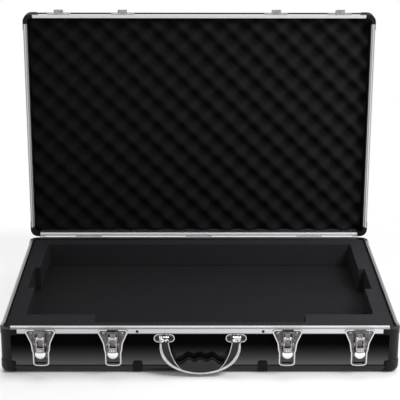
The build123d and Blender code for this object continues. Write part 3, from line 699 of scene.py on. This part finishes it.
def smooth(piece):
    """Shades curves round and keeps sharp edges sharp."""
    for face in piece.data.polygons:
        face.use_smooth = True
    rounding = piece.modifiers.new("soft edges", "WEIGHTED_NORMAL")
    rounding.keep_sharp = True
    edges = bmesh.new()
    edges.from_mesh(piece.data)
    for edge in edges.edges:
        if len(edge.link_faces) == 2 and edge.calc_face_angle() > round_angle:
            edge.smooth = False
    edges.to_mesh(piece.data)
    edges.free()


def opened(mesh):
    """Swings a mesh made for the closed lid to the open rest place."""
    about = Matrix.Translation(hinge_point) @ Matrix.Rotation(-open_angle, 4, "X")
    bmesh.ops.transform(mesh, matrix=about @ Matrix.Translation(-hinge_point), verts=mesh.verts)


def egg_crate():
    """The lid's soft foam: rounded peaks 49.5 mm apart in staggered rows, cut a little askew."""
    mesh = bmesh.new()
    bmesh.ops.create_grid(mesh, x_segments=crate_columns, y_segments=crate_rows, size=1.0)
    half_x, half_y = (foam_high.x - foam_low.x) / 2, (foam_high.y - foam_low.y) / 2
    widened = Matrix.Diagonal((half_x, half_y, 1.0, 1.0))
    bmesh.ops.transform(mesh, matrix=widened, verts=mesh.verts)
    for vertex in mesh.verts:
        along, across = askew(vertex.co.x, vertex.co.y)
        wave = sin(pi * along / peak_pitch) * sin(pi * across / peak_pitch)
        vertex.co.z = foam_low.z + peak_relief * (1 - (0.5 + 0.5 * wave) ** peak_roundness)
    edges = [edge for edge in mesh.edges if edge.is_boundary]
    grown = bmesh.ops.extrude_edge_only(mesh, edges=edges)["geom"]
    for vertex in grown:
        if isinstance(vertex, bmesh.types.BMVert):
            vertex.co.z = foam_high.z
    rim = [edge for edge in mesh.edges if edge.is_boundary]
    bmesh.ops.contextual_create(mesh, geom=rim)
    bmesh.ops.translate(mesh, vec=(0, foam_middle_y, 0), verts=mesh.verts)
    opened(mesh)
    piece = finished_piece("egg_crate_foam", mesh, "crate_foam", "lid", "lid_foam")
    for face in piece.data.polygons:
        face.use_smooth = len(face.vertices) == 4


def softened(name, node, finish, body, width, angle=30.0):
    """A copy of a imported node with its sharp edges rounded, standing in for it."""
    mesh = bmesh.new()
    mesh.from_mesh(nodes[node].data)
    bmesh.ops.remove_doubles(mesh, verts=mesh.verts, dist=same_place)
    bmesh.ops.dissolve_limit(mesh, angle_limit=flat_angle, verts=mesh.verts, edges=mesh.edges)
    sharp = [
        edge for edge in mesh.edges
        if len(edge.link_faces) == 2 and edge.calc_face_angle() > radians(angle)
    ]
    bmesh.ops.bevel(
        mesh, geom=sharp, offset=width, offset_type="OFFSET", segments=3, profile=0.5,
        affect="EDGES", clamp_overlap=False, material=-1,
    )
    bmesh.ops.triangulate(mesh, faces=[face for face in mesh.faces if len(face.verts) > 4])
    piece = finished_piece(name, mesh, finish, body, node)
    smooth(piece)
    return piece


def build_pieces():
    coat_everything()
    egg_crate()
    soft_pieces = (
        ("cut_foam_layer", "base_foam_cut_layer", "cut_foam", "base", 1.2 * MM),
        ("foam_floor", "base_foam_floor", "floor_foam", "base", 1.0 * MM),
        ("lid_lining_felt", "lid_lining", "lining", "lid", 0.4 * MM),
    )
    for name, node, finish, body, width in soft_pieces:
        softened(name, node, finish, body, width)
    grip_edge = 0.6 * MM
    softened("rounded_grip", "handle_grip", "grip", "handle", grip_edge, angle=40.0)


# Stage, light and camera

floor_half = 30.0
floor_gap = 0.2 * MM
white_from, all_white = 20 * MM, 300 * MM  # how far from the case's outline the floor turns white
world_light = 0.38


def floor_plane():
    """A wide pale floor; away from the case the camera sees it as white as the surround."""
    mesh = bmesh.new()
    bmesh.ops.create_grid(mesh, x_segments=1, y_segments=1, size=floor_half)
    bmesh.ops.translate(mesh, vec=(0, 0, cad_low.z - floor_gap), verts=mesh.verts)
    finish = Finish("pale floor", Specular_IOR_Level=0.0)
    cloud = finish.noise(scale=3.0)
    finish.set(Base_Color=finish.blend(cloud, (0.97, 0.97, 0.97), (0.99, 0.99, 0.99)))
    finish.set(Roughness=finish.noise(scale=5.0) * 0.05 + 0.9)
    beside = finish.axis("X").unsigned() - half_width
    beyond = finish.axis("Y").unsigned() - half_depth
    away = beside.math("MAXIMUM", beyond).above(white_from, all_white)
    behind_front = finish.axis("Y").above(-half_depth - 30 * MM, -half_depth + 20 * MM)
    # painted light: right beside the case's left and right faces the camera sees the floor three
    # quarters white, washing out the case's shadow there
    painted_light_flank = beside.above(-4 * MM, 6 * MM) * behind_front
    away = away.math("MAXIMUM", painted_light_flank * 0.75)
    white = finish.node("ShaderNodeEmission")
    finish.end_in(finish.mix_shaders(finish.ray("Camera") * away, finish.surface, white))
    floor = meshed("floor", mesh, finish.material)


def surround():
    """A white world for the camera and for mirrored and refracted rays, dimmer as a light."""
    scene.world = bpy.data.worlds.new("even surround")
    shading = Shading(scene.world, "ShaderNodeOutputWorld")
    rays = shading.ray("Camera") + (shading.ray("Glossy") + shading.ray("Transmission"))
    white = (1.0, 1.0, 1.0, 1.0)
    dim, full = (
        shading.node("ShaderNodeBackground", None, {"Color": white, "Strength": strength})
        for strength in (world_light, 1.0)
    )
    shading.end_in(shading.mix_shaders(rays.math("MINIMUM", 1.0), dim, full))


def hang(name, lamp, towards, place=(0, 0, 0)):
    """Puts a lamp in the scene; its light comes from the direction towards."""
    holder = in_scene(name, lamp)
    holder.location = place
    holder.rotation_mode = "QUATERNION"
    holder.rotation_quaternion = towards.to_track_quat("Z", "Y")


def sun(name, strength, spread, azimuth, elevation):
    """A soft distant lamp; azimuth 0 shines from the front, 90 from the right."""
    lamp = bpy.data.lights.new(name, "SUN")
    lamp.energy = strength
    lamp.angle = radians(spread)
    around, up = radians(azimuth), radians(elevation)
    towards = Vector((sin(around) * cos(up), -cos(around) * cos(up), sin(up)))
    hang(name, lamp, towards)


def softbox(name, watts, size, place, aim):
    """A square soft lamp near the case."""
    lamp = bpy.data.lights.new(name, "AREA")
    lamp.energy = watts
    lamp.size = size
    hang(name, lamp, Vector(place) - Vector(aim), place)


def camera(place, yaw, pitch, roll, focal_length, picture_width):
    """The photograph's view; the last two are in pixels, the turns in degrees."""
    lens = bpy.data.cameras.new("camera")
    lens.sensor_width = 36.0
    lens.lens = lens.sensor_width * focal_length / picture_width
    lens.clip_end = 100.0
    holder = in_scene("camera", lens)
    holder.location = place
    turn = Matrix.Rotation(radians(yaw), 4, "Z") @ Matrix.Rotation(radians(90 - pitch), 4, "X")
    holder.rotation_euler = (turn @ Matrix.Rotation(radians(roll), 4, "Z")).to_euler()
    scene.camera = holder


scene.view_settings.view_transform = "Standard"
build_pieces()
floor_plane()
surround()
sun("overhead", strength=0.88, spread=26.0, azimuth=165.0, elevation=76.0)
softbox(
    "key from the upper right", watts=27.0, size=0.8, place=(1.20, -0.90, 1.65),
    aim=(0.0, 0.05, 0.15),
)
camera(
    place=(-0.0131, -2.2607, 0.9983), yaw=-0.347, pitch=18.507, roll=0.118,
    focal_length=1270.5, picture_width=400.0,
)
